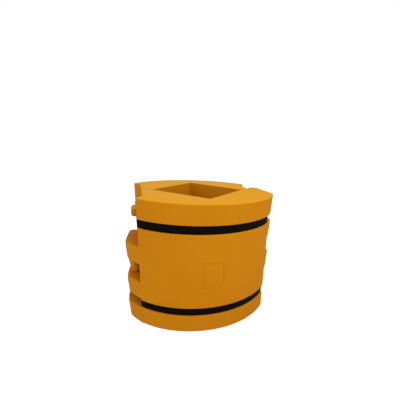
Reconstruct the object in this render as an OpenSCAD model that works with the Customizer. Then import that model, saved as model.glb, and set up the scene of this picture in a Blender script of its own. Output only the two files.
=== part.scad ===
// Column protector: two hollow moulded halves with curved impact faces close round a square column.
// Their ends interlock with fingers, and two hook-and-loop straps in face grooves hold them together.
// The origin is the middle of the column opening at floor level, and +Z is up.
// The opening's sides lie along X and Y, and the seams lie on the X = Y diagonal.

/* [Body] */
// Height of both halves
height = 610; // [520:5:1100]
// Side of the square opening that holds the column
opening = 330; // [280:5:350]
// Radius of each curved impact face
face_r = 409; // [395:1:450]
// Distance from the middle of the opening to the crown of a face
face_reach = 350; // [340:1:370]
// Half the width of a face between its upright end edges
face_half = 312; // [300:1:320]
// Half the width across the flanks behind a face
flank_half = 283; // [270:1:290]
// Rounding of the top and bottom rims of a face
rim_r = 8; // [2:0.5:15]

/* [Face ends] */
// Thickness of the lip at a face's upright end edge
lip_t = 7; // [3:0.5:15]
// Length of the hollow sweep from the lip back to the flank
sweep_l = 74; // [40:1:110]

/* [Fingers] */
// Half the width across the upper edges of the fingers
finger_half = 368; // [350:1:375]
// Distance that a finger's lower edge stays inside its upper edge
finger_draft = 7; // [0:1:12]
// Set-back of the middle fingers' fronts behind the face ends
finger_step = 45; // [20:1:70]
// Distance behind the middle of the opening's front corner where a finger starts to taper in plan
taper_y = -60; // [-90:5:-20]
// Taper of a finger's outer side towards its tip, in degrees
taper = 7; // [4:1:12]
// Plan rounding of a finger's tip
tip_r = 24; // [15:1:32]
// Rounding of a finger's tip seen from the side
tip_side_r = 28; // [5:1:35]
// Width of the cut-off corners of a finger seen from the front
cut_w = 10; // [3:1:15]
// Height of the cut-off at a finger's upper corner
upper_cut_h = 14; // [5:1:20]
// Height of the cut-off at a finger's lower corner
lower_cut_h = 26; // [5:1:30]
// Half the width across the stub above the upper strap
stub_half = 338; // [325:1:345]
// Height of the stub
stub_h = 50; // [35:1:80]
// Clearance between one half and the other at the seams
seam_gap = 2; // [1:0.5:5]

/* [Straps] */
// Height of the lower strap's middle
lower_z = 103; // [80:1:140]
// Height of the upper strap's middle
upper_z = 497; // [380:1:500]
// Width of a strap
strap_w = 38; // [25:1:50]
// Thickness of a strap
strap_t = 5; // [3:0.5:6]
// Distance that the sides of a strap stand out past the face ends
strap_out = 1; // [-6:1:3]
// Depth of the strap grooves in the faces
groove_d = 14; // [10:1:20]
// Play between a strap's edge and the wall of its groove
strap_play = 1; // [0.5:0.5:3]
// Play between a strap and its seat
seat_play = 0.3; // [0.2:0.1:0.5]
// Rounding of a groove's lips
groove_lip_r = 6; // [2:0.5:10]
// Length of the strap's free end where it laps over at the back
tail_l = 190; // [80:5:300]
// Thickness of the strap's free end
tail_t = 3; // [2:0.5:4]

/* [Raised frame] */
// Width of the raised frame on each face
frame_w = 96; // [50:1:140]
// Height of the raised frame
frame_h = 126; // [60:1:180]
// Height of the frame's middle above the floor
frame_z = 291; // [200:1:400]
// Distance of the frame's middle to the side of the crown line
frame_u = -5; // [-60:1:60]
// Width of the frame's rib
frame_rib = 5; // [3:0.5:10]
// Height of the rib above the face
frame_rise = 2; // [1:0.5:4]
// Cut-off at the frame's lower corner
frame_cut = 16; // [5:1:30]

/* [Hidden] */
$fn = 96;
body_colour = [0.84, 0.53, 0.06];
strap_colour = [0.06, 0.06, 0.07];

// Half the opening's diagonal, which puts its corners on the plan axes of a half
half_diag = opening * sqrt(2) / 2;
// Centre of the face's arc, beyond the middle of the opening
arc_y = face_r - face_reach;
face_end_y = arc_y - sqrt(face_r * face_r - face_half * face_half);
// Larger than any plan size, for shapes that run out past the body
far = 4 * face_r;

// Grooves and fingers: one level below the lower groove, four between and one above the upper groove
slot_h = strap_w + 2 * strap_play;
lower_slot = [lower_z - slot_h / 2, lower_z + slot_h / 2];
upper_slot = [upper_z - slot_h / 2, upper_z + slot_h / 2];
middle_levels = 4;
top_level = middle_levels + 1;
level_h = (upper_slot[0] - lower_slot[1]) / middle_levels;

// Hollow sweep behind the lip, an arc that is tangent to the flank
sweep_step = face_half - flank_half;
sweep_r = (sweep_step * sweep_step + sweep_l * sweep_l) / (2 * sweep_step);
sweep_y = face_end_y + lip_t + sweep_l;
finger_front_y = face_end_y + finger_step;

// Strap loop, seated in the grooves and against the face ends
strap_in_r = face_r - groove_d + seat_play;
strap_out_r = strap_in_r + strap_t;
strap_half = face_half + strap_out;
side_seat = strap_half - strap_t - seat_play;

// Levels that each half fills beside the opening's corners, and those that carry a finger
front_left_blocks = [[0, 1], [3, 3], [5, 5]];
front_left_fingers = [0, 1, 3];
front_right_blocks = [[2, 2], [4, 5]];
front_right_fingers = [2, 4, 5];
rear_left_blocks = [[0, 1], [3, 3]];
rear_left_fingers = [1, 3];
rear_right_blocks = [[2, 2], [4, 4]];
rear_right_fingers = [2];

function level_low(i) = i == 0 ? 0 : i == top_level ? upper_slot[1] : lower_slot[1] + (i - 1) * level_h;
function level_high(i) = i == 0 ? lower_slot[0] : i == top_level ? height : lower_slot[1] + i * level_h;
// A block beside the opening also closes the groove above it
function block_high(i) = i == middle_levels ? upper_slot[1] : level_high(i);
// Half the seam clearance, which the floor and the top rim don't need
function low_play(z) = z == 0 ? 0 : seam_gap / 2;
function high_play(z) = z == height ? 0 : seam_gap / 2;

// Plan of one side of a half up to the seam plane that the other half may pass
module core_side_plan() {
    corner_u = half_diag - seam_gap / sqrt(2);
    flank_y = half_diag - flank_half - seam_gap * sqrt(2);
    polygon([[0, -far], [flank_half, -far], [flank_half, flank_y],
             [corner_u, corner_u - half_diag], [0, -half_diag]]);
    difference() {
        translate([flank_half - lip_t, -far]) square([sweep_step + lip_t, sweep_y + far]);
        translate([flank_half + sweep_r, sweep_y]) circle(r = sweep_r);
    }
}

// Centre of a finger's round tip, which touches the tapered side and the opening's wall plane
function tip_u(reach) = (reach * cos(taper) + (taper_y + half_diag + tip_r * sqrt(2)) * sin(taper) - tip_r)
                        / (cos(taper) + sin(taper));
function tip_y(reach) = tip_u(reach) - half_diag - tip_r * sqrt(2);

// Plan of a finger, out to its reach and up to the opening's wall plane, with a round tip
module finger_plan(reach, front_y) {
    tip = [tip_u(reach), tip_y(reach)];
    // The outer side is drawn a little too far out, for the draft to cut it
    outer = reach + 5;
    front = front_y == -far ? [[0, -far], [outer, -far]]
                            : [[0, -far], [face_half, -far], [face_half, front_y], [outer, front_y]];
    polygon(concat(front, [[outer, taper_y - 5 / tan(taper)], tip + tip_r * [cos(taper), sin(taper)], tip,
                           tip + tip_r * [-1, 1] / sqrt(2), [0, -half_diag]]));
    // A hair smaller than the corner it fills, so that it isn't exactly tangent to the sides
    translate(tip) circle(r = tip_r - 0.05);
}

// Block beside the opening's corner from the first to the last level of the pair
module block(levels) {
    z0 = level_low(levels[0]) + low_play(level_low(levels[0]));
    z1 = block_high(levels[1]) - high_play(block_high(levels[1]));
    translate([0, 0, z0]) linear_extrude(z1 - z0)
        polygon([[0, -far], [flank_half, -far], [flank_half, flank_half - half_diag], [0, -half_diag]]);
}

// What the front view cuts away beyond a finger's end: a draft, and the outer corners between levels
module finger_end_waste(low, high, reach) {
    low_w = low == 0 ? 0 : cut_w * (1 + 1 / lower_cut_h);
    low_h = low == 0 ? 1 : lower_cut_h;
    high_w = high == height ? 0 : cut_w * (1 + 1 / upper_cut_h);
    high_h = high == height ? 1 : upper_cut_h;
    polygon([[reach - finger_draft - low_w, low - 1], [reach - finger_draft, low + low_h], [reach, high - high_h],
             [reach - high_w, high + 1], [2 * reach, high + 1], [2 * reach, low - 1]]);
}

// Side outline of a finger, with its tip rounded between levels
module finger_side(low, high, reach) {
    r = min(tip_side_r, (high - low) / 2 - 1);
    // It ends just past the plan's tip, so it only rounds the corners
    end_y = tip_y(reach) + tip_r + 1;
    low_z = low == 0 ? -height : low;
    high_z = high == height ? 2 * height : high;
    translate([-far, low_z]) square([far + end_y - r, high_z - low_z]);
    translate([-far, low_z + r]) square([far + end_y, high_z - low_z - 2 * r]);
    translate([end_y - r, low_z + r]) circle(r = r);
    translate([end_y - r, high_z - r]) circle(r = r);
}

// Finger from one height to another, given by its plan and side outlines
module finger(low, high, reach, front_y) {
    difference() {
        intersection() {
            translate([0, 0, low]) linear_extrude(high - low) finger_plan(reach, front_y);
            rotate([90, 0, 90]) linear_extrude(far) finger_side(low, high, reach);
        }
        translate([0, far, 0]) rotate([90, 0, 0]) linear_extrude(2 * far)
            finger_end_waste(low, high, reach);
    }
}

// Finger of one level: the middle ones are set back behind the face ends
module level_finger(level) {
    middle = level > 0 && level < top_level;
    finger(level_low(level) + low_play(level_low(level)), level_high(level) - high_play(level_high(level)),
           finger_half, middle ? finger_front_y : -far);
}

// Low stub on the flank that keeps the upper strap from creeping up where there is no top finger
module stub() {
    low = upper_slot[1] + seam_gap / 2;
    high = upper_slot[1] + stub_h;
    root = flank_half - lip_t;
    outer = stub_half + 5;
    difference() {
        translate([0, 0, low]) linear_extrude(high - low)
            polygon([[root, finger_front_y], [outer, finger_front_y], [outer, taper_y],
                     [root, taper_y + outer - root]]);
        translate([0, far, 0]) rotate([90, 0, 0]) linear_extrude(2 * far)
            finger_end_waste(low, high, stub_half);
    }
}

// Section of one raised band of the face, rounded at its lower and upper edge
module band_section(low, high, low_r, high_r) {
    square_low = low + low_r;
    square_high = high - high_r;
    translate([0, square_low]) square([face_r, square_high - square_low]);
    translate([0, low]) square([face_r - low_r, square_low - low + 1]);
    translate([0, square_high - 1]) square([face_r - high_r, high - square_high + 1]);
    translate([face_r - low_r, square_low]) circle(r = low_r);
    translate([face_r - high_r, square_high]) circle(r = high_r);
}

// Outer envelope: three bands of the face with a strap groove between each two
module face_envelope() {
    translate([0, arc_y, 0]) rotate_extrude() {
        square([face_r - groove_d, height]);
        band_section(0, lower_slot[0], rim_r, groove_lip_r);
        band_section(lower_slot[1], upper_slot[0], groove_lip_r, groove_lip_r);
        band_section(upper_slot[1], height, groove_lip_r, rim_r);
    }
}

// Space beside the flanks through which a strap runs back from the face ends
module side_slots(z) {
    for (side = [-1, 1])
        translate([side * (side_seat + far / 2), 0, z]) cube([far, 2 * far, slot_h], center = true);
}

// Raised frame on the crown of the face, with one corner cut off
module raised_frame() {
    outer = [frame_w / 2, frame_h / 2];
    inner = outer - [frame_rib, frame_rib];
    inner_cut = frame_cut - frame_rib * (2 - sqrt(2));
    intersection() {
        translate([0, arc_y, 0]) cylinder(r = face_r + frame_rise, h = height);
        translate([frame_u, -face_reach + groove_d, frame_z]) rotate([90, 0, 0]) linear_extrude(2 * groove_d)
            difference() {
                cut_rectangle(outer, frame_cut);
                cut_rectangle(inner, inner_cut);
            }
    }
}

// Rectangle of half size s with its lower right corner cut off by c
module cut_rectangle(s, c) {
    polygon([[-s[0], -s[1]], [s[0] - c, -s[1]], [s[0], c - s[1]], [s[0], s[1]], [-s[0], s[1]]]);
}

// One moulded half, drawn with its crown towards -Y
module half(left_blocks, left_fingers, right_blocks, right_fingers, has_stub) {
    difference() {
        intersection() {
            union() {
                linear_extrude(height) {
                    core_side_plan();
                    mirror([1, 0]) core_side_plan();
                }
                for (pair = left_blocks) mirror([1, 0, 0]) block(pair);
                for (level = left_fingers) mirror([1, 0, 0]) level_finger(level);
                for (pair = right_blocks) block(pair);
                for (level = right_fingers) level_finger(level);
                if (has_stub) mirror([1, 0, 0]) stub();
            }
            face_envelope();
        }
        side_slots(lower_z);
        side_slots(upper_z);
    }
    raised_frame();
}

// Plan of the space inside a strap, grown outwards by t
module loop_plan(t) {
    intersection() {
        translate([0, arc_y]) circle(r = strap_in_r + t);
        translate([0, -arc_y]) circle(r = strap_in_r + t);
        square([2 * (strap_half - strap_t + t), far], center = true);
    }
}

// Strap round both halves, with its free end lapped over at the back
module strap(z) {
    tail_angle = tail_l / strap_out_r * 180 / PI;
    rotate([0, 0, 45]) translate([0, 0, z - strap_w / 2]) {
        linear_extrude(strap_w) difference() {
            loop_plan(strap_t);
            loop_plan(0);
        }
        translate([0, -arc_y, 0]) rotate([0, 0, 90])
            rotate_extrude(angle = tail_angle)
                translate([strap_out_r - 0.5, 0]) square([tail_t + 0.5, strap_w]);
    }
}

module front_half() {
    color(body_colour) rotate([0, 0, 45])
        half(front_left_blocks, front_left_fingers, front_right_blocks, front_right_fingers, true);
}

module rear_half() {
    color(body_colour) rotate([0, 0, 225])
        half(rear_left_blocks, rear_left_fingers, rear_right_blocks, rear_right_fingers, false);
}

module upper_strap() {
    color(strap_colour) strap(upper_z);
}

module lower_strap() {
    color(strap_colour) strap(lower_z);
}

front_half();
rear_half();
upper_strap();
lower_strap();
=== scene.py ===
# %% [markdown]
# Column protector
#
# This lesson dresses a finished CAD model of a column protector: two moulded plastic halves that
# close round a square column, and two hook-and-loop straps that hold them together. The CAD model
# is the fixed frame, and everything here stands in its axes, in metres.

# %% Load the frame
import math

import bmesh
import bpy
from mathutils import Matrix, Vector


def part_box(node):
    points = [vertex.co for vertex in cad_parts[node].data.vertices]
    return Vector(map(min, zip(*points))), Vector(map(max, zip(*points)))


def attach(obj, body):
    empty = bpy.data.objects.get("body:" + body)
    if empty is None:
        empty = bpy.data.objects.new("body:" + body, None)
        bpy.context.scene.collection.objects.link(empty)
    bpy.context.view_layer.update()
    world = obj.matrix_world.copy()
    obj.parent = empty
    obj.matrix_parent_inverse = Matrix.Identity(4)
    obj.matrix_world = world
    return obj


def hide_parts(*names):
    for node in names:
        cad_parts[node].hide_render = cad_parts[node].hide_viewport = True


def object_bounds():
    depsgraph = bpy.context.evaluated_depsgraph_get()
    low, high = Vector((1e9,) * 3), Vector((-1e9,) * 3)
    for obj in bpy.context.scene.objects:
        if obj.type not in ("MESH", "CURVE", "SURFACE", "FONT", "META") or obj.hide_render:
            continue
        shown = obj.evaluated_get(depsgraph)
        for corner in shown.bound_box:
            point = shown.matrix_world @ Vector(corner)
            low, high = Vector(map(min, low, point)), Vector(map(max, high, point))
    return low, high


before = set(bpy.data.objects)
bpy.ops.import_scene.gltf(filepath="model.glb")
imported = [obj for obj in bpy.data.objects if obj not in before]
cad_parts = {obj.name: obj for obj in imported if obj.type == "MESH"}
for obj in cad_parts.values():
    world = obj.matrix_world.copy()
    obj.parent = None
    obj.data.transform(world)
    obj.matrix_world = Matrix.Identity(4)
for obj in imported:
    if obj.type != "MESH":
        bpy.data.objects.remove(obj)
cad_low, cad_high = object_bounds()
print("CAD box", [round(v, 4) for v in (*cad_low, *cad_high)])

# %% [markdown]
# The sizes of the protector
#
# The plan of a half is easiest to read along the diagonal of the column opening: U runs across the
# half and V runs from its crown towards the back. In the frame's own axes that plan is turned by 45
# degrees. The overall height comes from the frame, and the named sizes are those of the real part.

# %% Sizes and the diagonal plan
HEIGHT = cad_high.z
FACE_RADIUS = 0.409
FACE_REACH = 0.350
ARC_V = FACE_RADIUS - FACE_REACH
GROOVE_DEPTH = 0.014
DIAGONAL_TURN = Matrix.Rotation(math.radians(45), 4, "Z")


def turned(u, v, z=0.0):
    """A point of the diagonal plan in the frame's axes."""
    return DIAGONAL_TURN @ Vector((u, v, z))


print("height", round(HEIGHT, 3), "arc centre", round(ARC_V, 3))

# %% [markdown]
# The camera
#
# The photograph was taken with a wide lens from eye height, about a metre and a half away, and it
# leans a few degrees. A lens shift moves the protector off the middle of the picture as the crop of
# the photograph does.

# %% Make the camera
CAMERA_PLACE = turned(-0.3199, -1.4607, 0.8648)
CAMERA_HEADING = math.radians(22.8)
CAMERA_DOWN = math.radians(18.6)
CAMERA_LEAN = math.radians(4.0)
CAMERA_LENS = 25.69
CAMERA_SHIFT = (-0.11375, 0.0928)


def camera_turn(heading, down, lean):
    """The camera's axes for a heading from +Y, a tilt below the horizon and a lean to its right."""
    ahead = Vector((-math.sin(heading), math.cos(heading), 0))
    right = Vector((math.cos(heading), math.sin(heading), 0))
    upward = Vector((0, 0, 1))
    look = ahead * math.cos(down) - upward * math.sin(down)
    above = ahead * math.sin(down) + upward * math.cos(down)
    across = right * math.cos(lean) + above * math.sin(lean)
    above = above * math.cos(lean) - right * math.sin(lean)
    return Matrix((across, above, -look)).transposed().to_4x4()


camera_data = bpy.data.cameras.new("photo_camera")
camera_data.lens = CAMERA_LENS
camera_data.shift_x, camera_data.shift_y = CAMERA_SHIFT
camera_data.dof.use_dof = False
camera = bpy.data.objects.new("photo_camera", camera_data)
camera.matrix_world = (Matrix.Translation(CAMERA_PLACE)
                       @ camera_turn(CAMERA_HEADING, CAMERA_DOWN, CAMERA_LEAN))
bpy.context.scene.collection.objects.link(camera)
bpy.context.scene.camera = camera
print("camera at", [round(v, 3) for v in CAMERA_PLACE])

# %% [markdown]
# Materials from nodes
#
# Every finish is a node tree on Principled BSDF, and a few helpers keep the trees short. Patterns
# read Object coordinates, so they are in metres and stay put when the camera moves.

# %% Node helpers
def new_material(name):
    """A material with an empty tree, its output and its Principled BSDF."""
    material = bpy.data.materials.new(name)
    material.use_nodes = True
    tree = material.node_tree
    tree.nodes.clear()
    output = tree.nodes.new("ShaderNodeOutputMaterial")
    shader = tree.nodes.new("ShaderNodeBsdfPrincipled")
    tree.links.new(shader.outputs["BSDF"], output.inputs["Surface"])
    return material, tree, shader


def feed(tree, socket, value):
    """Links an output to a socket, or sets the socket to a constant."""
    if isinstance(value, bpy.types.NodeSocket):
        tree.links.new(value, socket)
    else:
        socket.default_value = value


def add_node(tree, kind, inputs=(), **settings):
    """A node with its settings, and with inputs given as (socket, value or output) pairs."""
    made = tree.nodes.new(kind)
    for name, value in settings.items():
        setattr(made, name, value)
    for socket, value in inputs:
        feed(tree, made.inputs[socket], value)
    return made


def object_coordinates(tree, scale=(1, 1, 1)):
    """Object coordinates in metres, stretched by scale."""
    coordinates = add_node(tree, "ShaderNodeTexCoord")
    mapping = add_node(tree, "ShaderNodeMapping",
                       [("Vector", coordinates.outputs["Object"]), ("Scale", scale)])
    return mapping.outputs["Vector"]


def noise(tree, scale, detail=2.0, roughness=0.5, stretch=(1, 1, 1)):
    """A noise factor with scale in features per metre."""
    made = add_node(tree, "ShaderNodeTexNoise",
                    [("Vector", object_coordinates(tree, stretch)), ("Scale", scale),
                     ("Detail", detail), ("Roughness", roughness)])
    return made.outputs["Fac"]


def remap(tree, factor, low, high, to_low=0.0, to_high=1.0):
    """A factor's stretch from low to high, turned into to_low to to_high and held there."""
    made = add_node(tree, "ShaderNodeMapRange",
                    [("Value", factor), ("From Min", low), ("From Max", high),
                     ("To Min", to_low), ("To Max", to_high)])
    return made.outputs["Result"]


def blend_colours(tree, factor, first, second):
    """Two colours, each a constant or an output, mixed by a factor."""
    made = add_node(tree, "ShaderNodeMix", [("Factor", factor)], data_type="RGBA")
    colours = [socket for socket in made.inputs if socket.type == "RGBA"]
    feed(tree, colours[0], first)
    feed(tree, colours[1], second)
    return next(socket for socket in made.outputs if socket.type == "RGBA")


def multiply(tree, first, second):
    """The product of two numbers or outputs."""
    made = add_node(tree, "ShaderNodeMath", [(0, first), (1, second)], operation="MULTIPLY")
    return made.outputs["Value"]


# %% [markdown]
# Moulded polyethylene
#
# The halves are rotationally moulded: coloured powder melts against a hot mould. The skin is even
# and matt, with a very fine pebble from the mould and long soft waves where the wall cooled. Upward
# faces near the top are painted a lighter yellow as painted light, and near the floor the skin is
# darker in patches towards the bottom. The painted light follows the surface's own direction and
# height, so it stays when the camera moves.

# %% Body material
BODY_COLOUR = (0.585, 0.216, 0.0050, 1)
BODY_DEEP = (0.545, 0.197, 0.0045, 1)
# The next colour is painted light: upward faces near the top turn this lighter yellow, standing in
# for light from above.
PAINTED_TOP_LIGHT_COLOUR = (0.690, 0.305, 0.0045, 1)
# The next colour darkens the skin in patches towards the bottom.
DARKER_FOOT_COLOUR = (0.430, 0.165, 0.0100, 1)
SCUFF_COLOUR = (0.700, 0.330, 0.0300, 1)
PAINTED_TOP_LIGHT_HEIGHTS = (0.45, 0.60)
DARKER_FOOT_HEIGHT = 0.11
SCUFF_STRETCH = (1, 1, 0.12)
PATCH_SCALE, FOOT_PATCH_SCALE, SCUFF_SCALE, POLISH_SCALE = 4.0, 24.0, 60.0, 30.0
PEBBLE_SCALE, PEBBLE_HEIGHT = 900.0, 0.0006
WAVE_SCALE, WAVE_HEIGHT = 9.0, 0.003
PLASTIC_ROUGHNESS = (0.52, 0.64)
PLASTIC_IOR = 1.51
PLASTIC_SPECULAR = 0.015


def moulded_plastic():
    """Matt orange-yellow polyethylene: fine pebble, soft waves, painted top light and a darker
    foot.
    """
    material, tree, shader = new_material("moulded_polyethylene")
    patches = remap(tree, noise(tree, PATCH_SCALE, 3.0), 0.30, 0.70)
    colour = blend_colours(tree, patches, BODY_COLOUR, BODY_DEEP)
    direction = add_node(tree, "ShaderNodeNewGeometry")
    upward = add_node(tree, "ShaderNodeSeparateXYZ", [("Vector", direction.outputs["Normal"])])
    place = add_node(tree, "ShaderNodeSeparateXYZ", [("Vector", object_coordinates(tree))])
    height = place.outputs["Z"]
    # Painted light: upward faces high on the part are mixed towards a lighter yellow, as if lit
    # from above.
    painted_top_light = multiply(tree, remap(tree, upward.outputs["Z"], 0.15, 0.95),
                    remap(tree, height, *PAINTED_TOP_LIGHT_HEIGHTS))
    colour = blend_colours(tree, painted_top_light, colour, PAINTED_TOP_LIGHT_COLOUR)
    # The skin is made darker in patches towards the bottom, below the height above.
    foot = remap(tree, height, DARKER_FOOT_HEIGHT, 0.0, 0.0, 0.45)
    foot_patches = remap(tree, noise(tree, FOOT_PATCH_SCALE, 6.0, 0.65), 0.35, 0.70)
    colour = blend_colours(tree, multiply(tree, foot, foot_patches), colour, DARKER_FOOT_COLOUR)
    scratches = noise(tree, SCUFF_SCALE, 5.0, 0.6, SCUFF_STRETCH)
    scuffs = remap(tree, scratches, 0.66, 0.74, 0.0, 0.22)
    colour = blend_colours(tree, scuffs, colour, SCUFF_COLOUR)
    tree.links.new(colour, shader.inputs["Base Color"])
    polish = remap(tree, noise(tree, POLISH_SCALE, 4.0), 0.3, 0.7, *PLASTIC_ROUGHNESS)
    tree.links.new(polish, shader.inputs["Roughness"])
    pebble = add_node(tree, "ShaderNodeBump", [("Strength", 0.12), ("Distance", PEBBLE_HEIGHT),
                                               ("Height", noise(tree, PEBBLE_SCALE, 2.0))])
    waves = add_node(tree, "ShaderNodeBump", [("Strength", 0.25), ("Distance", WAVE_HEIGHT),
                                              ("Height", noise(tree, WAVE_SCALE, 1.0)),
                                              ("Normal", pebble.outputs["Normal"])])
    tree.links.new(waves.outputs["Normal"], shader.inputs["Normal"])
    shader.inputs["IOR"].default_value = PLASTIC_IOR
    shader.inputs["Specular IOR Level"].default_value = PLASTIC_SPECULAR
    return material


body_material = moulded_plastic()
print("material", body_material.name)

# %% [markdown]
# Woven hook-and-loop webbing
#
# The straps are black polyester webbing. Their pattern follows the strap, so it reads the strap's
# own UV map, in metres along and across the band.

# %% Strap material
STRAP_COLOUR = (0.0026, 0.0019, 0.0012, 1)
STRAP_LIGHT = (0.0062, 0.0046, 0.0032, 1)
RIBS_SCALE = 180.0
PILE_SCALE = 700.0
BAND_UV = "band"


def webbing():
    """Black webbing with a fine rib across the band and a soft pile."""
    material, tree, shader = new_material("black_webbing")
    place = add_node(tree, "ShaderNodeUVMap", uv_map=BAND_UV).outputs["UV"]
    rib = add_node(tree, "ShaderNodeTexWave",
                   [("Vector", place), ("Scale", RIBS_SCALE), ("Distortion", 0.6)],
                   wave_type="BANDS", bands_direction="X")
    pile = add_node(tree, "ShaderNodeTexNoise",
                    [("Vector", place), ("Scale", PILE_SCALE), ("Detail", 3.0)])
    weave = multiply(tree, rib.outputs["Fac"], pile.outputs["Fac"])
    colour = blend_colours(tree, remap(tree, weave, 0.1, 0.7), STRAP_COLOUR, STRAP_LIGHT)
    tree.links.new(colour, shader.inputs["Base Color"])
    shader.inputs["Roughness"].default_value = 0.9
    shader.inputs["Specular IOR Level"].default_value = 0.05
    shader.inputs["Sheen Weight"].default_value = 0.01
    shader.inputs["Sheen Roughness"].default_value = 0.5
    bump = add_node(tree, "ShaderNodeBump",
                    [("Strength", 0.5), ("Distance", 0.0005), ("Height", weave)])
    tree.links.new(bump.outputs["Normal"], shader.inputs["Normal"])
    return material


strap_material = webbing()
print("material", strap_material.name)

# %% [markdown]
# Plans of the halves
#
# A moulded part has no sharp edge, because the plastic can't fill a sharp corner of the mould. The
# exact surfaces of the CAD nodes come with uneven facets that would show as bands of light, so each
# half is built again from the same plan in even facets. All outlines are drawn in the diagonal plan
# with the crown at -V, and every arc of the face uses the same two degree steps, so they match.
# Outlines that share the slanting wall of the opening stay a small step apart there, because the
# booleans need faces that either match exactly or lie clearly apart.

# %% Outlines in plan
OPENING = 0.330
HALF_DIAGONAL = OPENING * math.sqrt(2) / 2
FACE_HALF = 0.312
FLANK_HALF = 0.283
LIP = 0.007
SWEEP = 0.074
SWEEP_FACETS = 7
SEAM = 0.002
WALL_STEP = 0.0007
GROOVE_HALF = 0.3055
FINGER_HALF = 0.368
TAPER_V = -0.060
TAPER_DEGREES = 7
WALL_DEGREES = 135
TIP_RADIUS = 0.024
TIP_STEP = 16
STUB_HALF = 0.334
STUB_V = (-0.158, -0.080)
ARC_STEP = 2
ARC_LIMIT = 88
ARC_SLACK = 0.002
TOUCH = 0.001
ROOT_V = -0.160
BLOCK_ROOT_U = 0.100
FINGER_ROOT_U = 0.120


def on_arc(radius, angle):
    """The point of the face's arc at an angle from the crown line."""
    return radius * math.sin(angle), ARC_V - radius * math.cos(angle)


def arc_points(radius, half_low, half_high):
    """Points of the arc between two distances from the crown line, at even steps between them."""
    first, last = math.asin(half_low / radius), math.asin(half_high / radius)
    steps = [math.radians(a) for a in range(-ARC_LIMIT, ARC_LIMIT + 1, ARC_STEP)]
    between = [a for a in steps if first + ARC_SLACK < a < last - ARC_SLACK]
    return [on_arc(radius, a) for a in (first, *between, last)]


FACE_END_V = arc_points(FACE_RADIUS, -FACE_HALF, FACE_HALF)[0][1]
SWEEP_DROP = FACE_HALF - FLANK_HALF
SWEEP_RADIUS = (SWEEP_DROP ** 2 + SWEEP ** 2) / (2 * SWEEP_DROP)
SWEEP_V = FACE_END_V + LIP + SWEEP


def core_outline(radius, half):
    """Outline of a half between its fingers: the face, both hollow sweeps, flanks and seams."""
    side = [(FACE_HALF, FACE_END_V + LIP)] if half == FACE_HALF else []
    turn = math.asin(SWEEP / SWEEP_RADIUS)
    for step in range(1, SWEEP_FACETS + 1):
        angle = turn * (1 - step / SWEEP_FACETS)
        u = FLANK_HALF + SWEEP_RADIUS * (1 - math.cos(angle))
        if u < half - TOUCH:
            side.append((u, SWEEP_V - SWEEP_RADIUS * math.sin(angle)))
    side.append((FLANK_HALF, HALF_DIAGONAL - FLANK_HALF - SEAM * math.sqrt(2)))
    corner = HALF_DIAGONAL - SEAM / math.sqrt(2)
    side.append((corner, corner - HALF_DIAGONAL))
    mirrored = [(-u, v) for u, v in reversed(side)]
    return arc_points(radius, -half, half) + side + [(0, -HALF_DIAGONAL)] + mirrored


def block_outline():
    """Outline of the part of a half that runs past the seam beside the opening's corner."""
    wall = HALF_DIAGONAL + WALL_STEP
    return [(BLOCK_ROOT_U, ROOT_V), (FLANK_HALF, ROOT_V), (FLANK_HALF, FLANK_HALF - wall),
            (BLOCK_ROOT_U, BLOCK_ROOT_U - wall)]


def finger_outline(radius):
    """Outline of a finger: its front on an arc, a tapered side and a round tip."""
    taper = math.radians(TAPER_DEGREES)
    sine, cosine = math.sin(taper), math.cos(taper)
    tip_run = TIP_RADIUS * math.sqrt(2)
    tip_u = (FINGER_HALF * cosine + (TAPER_V + HALF_DIAGONAL + tip_run) * sine
             - TIP_RADIUS) / (cosine + sine)
    tip_v = tip_u - HALF_DIAGONAL - tip_run - 2 * WALL_STEP
    tip = [(tip_u + TIP_RADIUS * math.cos(t), tip_v + TIP_RADIUS * math.sin(t))
           for t in map(math.radians, range(TAPER_DEGREES, WALL_DEGREES + 1, TIP_STEP))]
    face_end = math.degrees(math.asin(FACE_HALF / FACE_RADIUS))
    last_step = math.radians(ARC_STEP * int(face_end / ARC_STEP))
    front = [on_arc(radius, last_step)] + arc_points(radius, FACE_HALF, FINGER_HALF)
    wall_v = FINGER_ROOT_U - HALF_DIAGONAL - 2 * WALL_STEP
    root = [(FINGER_ROOT_U, wall_v), (FINGER_ROOT_U, ROOT_V)]
    return front + [(FINGER_HALF, TAPER_V)] + tip + root


def stub_outline():
    """Outline of the low stub on the flank above the upper strap."""
    root = FLANK_HALF - LIP
    front, back = STUB_V
    return [(root, front), (STUB_HALF, front), (STUB_HALF, back), (root, back + STUB_HALF - root)]


print("face end", round(FACE_END_V, 4), "finger points", len(finger_outline(FACE_RADIUS)))

# %% [markdown]
# Levels
#
# Seen from the front a half is cut into levels: one below the lower groove, four between the
# grooves and one above. On each level a half either stops at the seam or runs past it, and then it
# may carry a finger. On the middle levels a finger's front lies a little behind the face.

# %% Level sizes and layouts
LOWER_SLOT = (0.083, 0.123)
UPPER_SLOT = (0.477, 0.517)
LEVEL_FEET = [0.0, 0.123, 0.2115, 0.300, 0.3885, 0.517]
LEVEL_TOPS = [0.083, 0.2115, 0.300, 0.3885, 0.477, HEIGHT]
LAST_MIDDLE_LEVEL = 4
TOP_LEVEL = 5
FINGER_INSET = 0.003
DRAFT = 0.007
STUB_TOP = 0.552
# For each side, U < 0 first: runs of levels that pass the seam, and levels with a finger
FRONT_LAYOUT = {-1: ([(0, 1), (3, 3), (5, 5)], [0, 1, 3]),
                1: ([(2, 2), (4, 5)], [2, 4, 5])}
REAR_LAYOUT = {-1: ([(0, 1), (3, 3)], [1, 3]),
               1: ([(2, 2), (4, 4)], [2])}


def level_span(first, last):
    """Lower and upper height of a run of levels, less the play at the seams."""
    low, high = LEVEL_FEET[first], LEVEL_TOPS[last]
    return low + (SEAM / 2 if first > 1 else 0), high - (SEAM / 2 if high < HEIGHT else 0)


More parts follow.
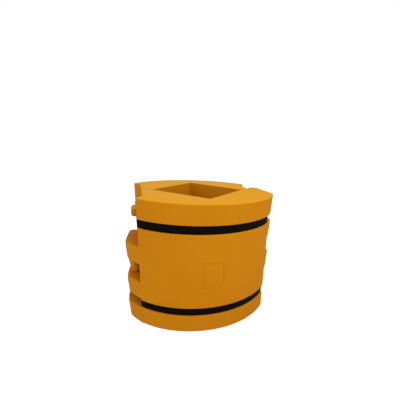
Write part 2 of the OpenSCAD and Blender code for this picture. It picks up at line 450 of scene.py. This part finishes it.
def block_span(first, last):
    """The span of a block, which also closes the upper groove above the last middle level."""
    low, high = level_span(first, last)
    return low, UPPER_SLOT[1] - SEAM / 2 if last == LAST_MIDDLE_LEVEL else high


print("levels", [round(z, 4) for z in LEVEL_FEET])

# %% [markdown]
# Prisms and their union
#
# Each outline becomes a prism. The outer edges of the fingers and the stub are the softest of the
# part, so they are bevelled before the prisms are joined with exact booleans into one clean solid.

# %% Make and join prisms
FINGER_ROUND = 0.012
FINGER_SEGMENTS = 5
SOFT_ANGLE = math.radians(30)
OUTER_CORNER_U = 0.340
BESIDE_FACE_U = 0.290
LEVEL_SLACK = 0.0005
RADIUS_SLACK = 0.0006
WALL_SLACK = 0.002
WELD = 0.0006
FLAT_ANGLE = math.radians(0.3)


def on_face(edge):
    """True where both ends of an edge lie on the face's arc."""
    return all(abs(math.hypot(v.co.x, v.co.y - ARC_V) - FACE_RADIUS) < RADIUS_SLACK
               for v in edge.verts)


def at_wall(edge):
    """True where both ends of an edge lie on the plane of the opening's wall."""
    return all(abs(v.co.y - abs(v.co.x) + HALF_DIAGONAL) < WALL_SLACK for v in edge.verts)


def is_level(edge):
    """True where both ends of an edge have the same height."""
    return abs(edge.verts[0].co.z - edge.verts[1].co.z) < LEVEL_SLACK


def soft_on_finger(edge):
    """True for the edges that have the large rounding: a finger's top, foot and outer corner."""
    if at_wall(edge) or edge.calc_face_angle() < SOFT_ANGLE:
        return False
    reach = min(abs(vert.co.x) for vert in edge.verts)
    if not is_level(edge):
        return reach > OUTER_CORNER_U
    inside = TOUCH < edge.verts[0].co.z < HEIGHT - TOUCH
    return inside and not on_face(edge) and reach > BESIDE_FACE_U


def prism(outline, low, high, side=1, draft=0.0, soft=None):
    """An object that is the prism of an outline, with its foot drawn in beyond the face's end."""
    work = bmesh.new()
    foot = [work.verts.new((side * u, v, low)) for u, v in outline]
    grown = bmesh.ops.extrude_face_region(work, geom=[work.faces.new(foot)])
    for item in grown["geom"]:
        if isinstance(item, bmesh.types.BMVert):
            item.co.z = high
    for vert in foot:
        reach = (abs(vert.co.x) - FACE_HALF) / (FINGER_HALF - FACE_HALF)
        vert.co.x -= side * draft * min(1.0, max(0.0, reach))
    bmesh.ops.recalc_face_normals(work, faces=work.faces)
    if soft:
        chosen = [edge for edge in work.edges if soft(edge)]
        bmesh.ops.bevel(work, geom=chosen, offset=FINGER_ROUND, offset_type="OFFSET",
                        segments=FINGER_SEGMENTS, profile=0.5, affect="EDGES", material=-1,
                        clamp_overlap=True)
    mesh = bpy.data.meshes.new("prism")
    work.to_mesh(mesh)
    work.free()
    shape = bpy.data.objects.new("prism", mesh)
    bpy.context.scene.collection.objects.link(shape)
    return shape


def level_prisms(layout, has_stub):
    """All prisms of a half: the full height first, then the bands, the blocks and the fingers."""
    shapes = [prism(core_outline(FACE_RADIUS - GROOVE_DEPTH, GROOVE_HALF), 0, HEIGHT)]
    for low, high in ((0, LOWER_SLOT[0]), (LOWER_SLOT[1], UPPER_SLOT[0]), (UPPER_SLOT[1], HEIGHT)):
        shapes.append(prism(core_outline(FACE_RADIUS, FACE_HALF), low, high))
    for side, (blocks, fingers) in layout.items():
        for first, last in blocks:
            shapes.append(prism(block_outline(), *block_span(first, last), side))
        for level in fingers:
            inset = FINGER_INSET if 0 < level < TOP_LEVEL else 0.0
            shapes.append(prism(finger_outline(FACE_RADIUS - inset), *level_span(level, level),
                                side, DRAFT, soft_on_finger))
    if has_stub:
        shapes.append(prism(stub_outline(), UPPER_SLOT[1] + SEAM / 2, STUB_TOP, -1,
                            soft=soft_on_finger))
    return shapes


def joined(shapes):
    """One bmesh from the union of all shapes, with its flat faces merged."""
    first = shapes[0]
    for other in shapes[1:]:
        union = first.modifiers.new("union", "BOOLEAN")
        union.operation = "UNION"
        union.solver = "EXACT"
        union.object = other
    graph = bpy.context.evaluated_depsgraph_get()
    work = bmesh.new()
    work.from_mesh(first.evaluated_get(graph).to_mesh())
    for shape in shapes:
        bpy.data.objects.remove(shape)
    bmesh.ops.remove_doubles(work, verts=work.verts, dist=WELD)
    bmesh.ops.dissolve_limit(work, angle_limit=FLAT_ANGLE, verts=work.verts, edges=work.edges,
                             use_dissolve_boundaries=False)
    return work


# %% [markdown]
# The raised frame
#
# Each face carries a low moulded frame with one corner cut off. Its rib follows the face, so its
# outline is cut into short steps and set on the arc. It has sloping shoulders and a hidden root.

# %% Raised frame
FRAME_SIZE = (0.096, 0.126)
FRAME_MIDDLE = (-0.005, 0.291)
FRAME_CUT = 0.016
FRAME_RIB = 0.005
FRAME_RISE = 0.0016
FRAME_ROOT = -0.003
FRAME_STEPS = 12
FRAME_SECTION = ((0, FRAME_ROOT), (0, 0), (FRAME_RISE, FRAME_RISE),
                 (FRAME_RIB - FRAME_RISE, FRAME_RISE), (FRAME_RIB, 0), (FRAME_RIB, FRAME_ROOT))


def cut_rectangle(inset):
    """Outline of the frame in the face's view, drawn in by an inset, with its lower corner cut."""
    u, z = FRAME_SIZE[0] / 2 - inset, FRAME_SIZE[1] / 2 - inset
    cut = FRAME_CUT - inset * (2 - math.sqrt(2))
    corners = [(-u, -z), (u - cut, -z), (u, cut - z), (u, z), (-u, z)]
    points = []
    for start, end in zip(corners, corners[1:] + corners[:1]):
        points += [(start[0] + (end[0] - start[0]) * step / FRAME_STEPS,
                    start[1] + (end[1] - start[1]) * step / FRAME_STEPS)
                   for step in range(FRAME_STEPS)]
    return points


def add_frame(work):
    """Adds the rib of the raised frame to a half's mesh as a closed ring on the face."""
    rings = []
    for inset, rise in FRAME_SECTION:
        ring = []
        for u, z in cut_rectangle(inset):
            angle = math.asin((u + FRAME_MIDDLE[0]) / FACE_RADIUS)
            u, v = on_arc(FACE_RADIUS + rise, angle)
            ring.append(work.verts.new((u, v, z + FRAME_MIDDLE[1])))
        rings.append(ring)
    for inner, outer in zip(rings, rings[1:] + rings[:1]):
        for index in range(len(inner)):
            following = (index + 1) % len(inner)
            face = work.faces.new((inner[index], inner[following], outer[following], outer[index]))
            face.smooth = True


# %% [markdown]
# Rounding
#
# After the union each hard edge that is left gets its own rounding as a bevel weight: the rims of
# the face are the softest, then the lips of the grooves, and the seams are the crispest. Edges at
# the opening's wall and the other level edges at the grooves' heights are marked sharp.

# %% Round and dress a half
RIM_ROUND = 0.0055
LIP_ROUND = 0.004
SEAM_ROUND = 0.002
ROUND_SEGMENTS = 4
HARD_ANGLE = math.radians(24)
RIM_ZONE = 0.010
SLOT_SLACK = 0.002


def edge_round(edge):
    """The rounding of one edge of a half in the diagonal plan."""
    if len(edge.link_faces) != 2 or edge.calc_face_angle() < HARD_ANGLE or not edge.is_convex:
        return 0.0
    if at_wall(edge) or edge.calc_length() < SEAM_ROUND:
        return 0.0
    height = (edge.verts[0].co.z + edge.verts[1].co.z) / 2
    if is_level(edge) and on_face(edge):
        return LIP_ROUND if RIM_ZONE < height < HEIGHT - RIM_ZONE else RIM_ROUND
    at_slot = any(abs(height - slot) < SLOT_SLACK for slot in (*LOWER_SLOT, *UPPER_SLOT))
    return 0.0 if is_level(edge) and at_slot else SEAM_ROUND


def rounded_half(node, half_turn, layout, has_stub):
    """A half in even facets with rounded edges, turned about Z, which stands for its CAD node."""
    work = joined(level_prisms(layout, has_stub))
    weights = work.edges.layers.float.new("bevel_weight_edge")
    for edge in work.edges:
        edge[weights] = edge_round(edge) / RIM_ROUND
        edge.smooth = edge[weights] > 0 or edge.calc_face_angle(0) < HARD_ANGLE
    for face in work.faces:
        face.smooth = True
    add_frame(work)
    bmesh.ops.recalc_face_normals(work, faces=work.faces)
    work.transform(DIAGONAL_TURN @ Matrix.Rotation(math.radians(half_turn), 4, "Z"))
    mesh = bpy.data.meshes.new(node + "_moulding")
    work.to_mesh(mesh)
    work.free()
    mesh.materials.append(body_material)
    piece = bpy.data.objects.new(node + "_moulding", mesh)
    bpy.context.scene.collection.objects.link(piece)
    bevel = piece.modifiers.new("soft_edges", "BEVEL")
    bevel.width = RIM_ROUND
    bevel.segments = ROUND_SEGMENTS
    bevel.limit_method = "WEIGHT"
    bevel.use_clamp_overlap = False
    normals = piece.modifiers.new("even_normals", "WEIGHTED_NORMAL")
    normals.keep_sharp = True
    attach(piece, "root")
    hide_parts(node)
    print(piece.name, len(mesh.polygons), "faces before the bevel")


rounded_half("front_half", 0, FRONT_LAYOUT, True)
rounded_half("rear_half", 180, REAR_LAYOUT, False)

# %% [markdown]
# Straps
#
# A strap lies in its groove, bends round the upright end edge of each face and runs straight along
# the flank. Its section is a thin rectangle of four points. The spin operator swings it round the
# arcs and the bends, and a move carries it along the straights, so the band is one closed loop. At
# the back its free end is lapped over it.

# %% Sweep a strap
STRAP_WIDTH = 0.038
STRAP_THICKNESS = 0.005
STRAP_HALF = 0.313
SEAT_PLAY = 0.0003
BEND_RADIUS = 0.012
TAIL_LENGTH = 0.190
TAIL_THICKNESS = 0.003
TAIL_SINK = 0.0005
HALF_ARC_STEPS = 24
BEND_STEPS = 6
TAIL_STEPS = 16
BAND_WELD = 0.0002
STRAP_WEAR = 0.0012
WEAR_SEGMENTS = 2
WEAR_ANGLE = math.radians(40)
STRAP_IN = FACE_RADIUS - GROOVE_DEPTH + SEAT_PLAY
STRAP_OUT = STRAP_IN + STRAP_THICKNESS


def bend_centre():
    """Centre of the bend between a face arc and a flank, and its angle about the arc's centre."""
    u = STRAP_HALF - BEND_RADIUS
    drop = math.sqrt((STRAP_OUT - BEND_RADIUS) ** 2 - u ** 2)
    return u, ARC_V - drop, math.atan2(u, drop)


def spin_end(work, section, centre, angle, steps):
    """Swings the open end of a sweep round an upright axis and returns the new end."""
    made = bmesh.ops.spin(work, geom=section, cent=centre, axis=(0, 0, 1), angle=angle,
                          steps=steps, use_merge=False, use_duplicate=False)
    return made["geom_last"]


def move_end(work, section, shift):
    """Draws the open end of a sweep out by a shift and returns the new end."""
    edges = [e for e in section if isinstance(e, bmesh.types.BMEdge)]
    made = bmesh.ops.extrude_edge_only(work, edges=edges)["geom"]
    verts = [v for v in made if isinstance(v, bmesh.types.BMVert)]
    bmesh.ops.translate(work, verts=verts, vec=shift)
    return verts + [e for e in made if isinstance(e, bmesh.types.BMEdge)]


def section_verts(work, near, far, low, high):
    """The four corners of a band's section on the V axis."""
    places = ((near, low), (far, low), (far, high), (near, high))
    return [work.verts.new((0, v, z)) for v, z in places]


def band_position(u, v):
    """Distance along the band of a point, for the weave."""
    flank_v = -bend_centre()[1]
    if abs(v) < flank_v:
        return math.copysign(v, u)
    angle = math.atan2(u, abs(v) + ARC_V)
    return angle * STRAP_OUT + math.copysign(flank_v * 3, v)


def add_loop(work, low, high):
    """Sweeps the closed loop of a strap, starting at the front crown."""
    bend_u, bend_v, arc_angle = bend_centre()
    corners = section_verts(work, ARC_V - STRAP_IN, ARC_V - STRAP_OUT, low, high)
    end = corners + [work.edges.new((corners[i], corners[(i + 1) % 4])) for i in range(4)]
    bend_angle = math.pi / 2 - arc_angle
    flank = 2 * abs(bend_v)
    for way in (1, -1):
        end = spin_end(work, end, (0, way * ARC_V, 0), arc_angle, HALF_ARC_STEPS)
        end = spin_end(work, end, (way * bend_u, way * bend_v, 0), bend_angle, BEND_STEPS)
        end = move_end(work, end, (0, way * flank, 0))
        end = spin_end(work, end, (way * bend_u, -way * bend_v, 0), bend_angle, BEND_STEPS)
        end = spin_end(work, end, (0, -way * ARC_V, 0), arc_angle, HALF_ARC_STEPS)
    bmesh.ops.remove_doubles(work, verts=work.verts, dist=BAND_WELD)


def add_tail(work, low, high):
    """Laps the strap's free end over the band at the back, from the crown towards -U."""
    surface = STRAP_OUT - ARC_V
    corners = section_verts(work, surface - TAIL_SINK, surface + TAIL_THICKNESS, low, high)
    section = work.faces.new(corners)
    spin_end(work, [section, *section.edges, *corners], (0, -ARC_V, 0), TAIL_LENGTH / STRAP_OUT,
             TAIL_STEPS)


def strap_band(node):
    """A closed strap with its lapped end, which stands for its CAD node."""
    name = node + "_band"
    box_low, box_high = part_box(node)
    middle = (box_low.z + box_high.z) / 2
    low, high = middle - STRAP_WIDTH / 2, middle + STRAP_WIDTH / 2
    work = bmesh.new()
    add_loop(work, low, high)
    add_tail(work, low, high)
    bmesh.ops.recalc_face_normals(work, faces=work.faces)
    layer = work.loops.layers.uv.new(BAND_UV)
    for face in work.faces:
        face.smooth = True
        for loop in face.loops:
            u, v, z = loop.vert.co
            loop[layer].uv = (band_position(u, v), z)
    work.transform(DIAGONAL_TURN)
    mesh = bpy.data.meshes.new(name)
    work.to_mesh(mesh)
    work.free()
    mesh.materials.append(strap_material)
    strap = bpy.data.objects.new(name, mesh)
    bpy.context.scene.collection.objects.link(strap)
    bevel = strap.modifiers.new("worn_edges", "BEVEL")
    bevel.width = STRAP_WEAR
    bevel.segments = WEAR_SEGMENTS
    bevel.limit_method = "ANGLE"
    bevel.angle_limit = WEAR_ANGLE
    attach(strap, "root")
    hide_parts(node)
    print(name, len(mesh.polygons), "faces")


for strap_node in ("upper_strap", "lower_strap"):
    strap_band(strap_node)

# %% [markdown]
# Floor and light
#
# A pale floor and a pale world stand in for a photo studio. The camera sees the world as white, and
# the floor adds a little light of its own to the camera only, so it is white too but keeps the
# object's shadow. The object is lit by a softer level of the world, one large lamp above and in
# front, and two weak fill lamps at the left and the back.

# %% Floor
FLOOR_SIZE = 30.0
FLOOR_COLOUR = (0.80, 0.80, 0.80, 1)
FLOOR_LIFT = 0.55
FLOOR_GAP = 0.0005
WHITE = (1, 1, 1, 1)


def pale_floor():
    """A wide floor at the height that the object stands on."""
    work = bmesh.new()
    bmesh.ops.create_grid(work, x_segments=1, y_segments=1, size=FLOOR_SIZE / 2)
    bmesh.ops.translate(work, verts=work.verts, vec=(0, 0, cad_low.z - FLOOR_GAP))
    mesh = bpy.data.meshes.new("floor")
    work.to_mesh(mesh)
    work.free()
    material, tree, shader = new_material("pale_floor")
    shader.inputs["Base Color"].default_value = FLOOR_COLOUR
    shader.inputs["Roughness"].default_value = 0.9
    shader.inputs["Specular IOR Level"].default_value = 0.0
    rays = add_node(tree, "ShaderNodeLightPath")
    lift = multiply(tree, rays.outputs["Is Camera Ray"], FLOOR_LIFT)
    shader.inputs["Emission Color"].default_value = WHITE
    tree.links.new(lift, shader.inputs["Emission Strength"])
    mesh.materials.append(material)
    floor = bpy.data.objects.new("floor", mesh)
    bpy.context.scene.collection.objects.link(floor)


pale_floor()

# %% World and lamps
WORLD_LEVEL = 0.74
LAMP_TARGET = Vector((0, 0, 0.3))
# Name, place in the diagonal plan, size and power of each lamp
LAMPS = (("softbox", (0.6, -1.5, 2.3), 2.0, 28),
         ("left_fill", (-2.2, -0.9, 0.9), 1.6, 7),
         ("back_fill", (0.4, 2.6, 0.6), 1.2, 9))


def studio_world():
    """A white world to the camera, and a softer fill light for everything else."""
    world = bpy.data.worlds.new("studio")
    world.use_nodes = True
    tree = world.node_tree
    tree.nodes.clear()
    rays = add_node(tree, "ShaderNodeLightPath")
    level = remap(tree, rays.outputs["Is Camera Ray"], 0.0, 1.0, WORLD_LEVEL, 1.0)
    background = add_node(tree, "ShaderNodeBackground", [("Color", WHITE), ("Strength", level)])
    output = add_node(tree, "ShaderNodeOutputWorld")
    tree.links.new(background.outputs["Background"], output.inputs["Surface"])
    bpy.context.scene.world = world


def soft_lamp(name, place, size, power):
    """A square area lamp that points at the middle of the object."""
    data = bpy.data.lights.new(name, "AREA")
    data.shape = "SQUARE"
    data.size = size
    data.energy = power
    lamp = bpy.data.objects.new(name, data)
    lamp.location = turned(*place)
    lamp.rotation_euler = (LAMP_TARGET - lamp.location).to_track_quat("-Z", "Y").to_euler()
    bpy.context.scene.collection.objects.link(lamp)


studio_world()
for lamp_values in LAMPS:
    soft_lamp(*lamp_values)
bpy.context.scene.view_settings.view_transform = "Standard"
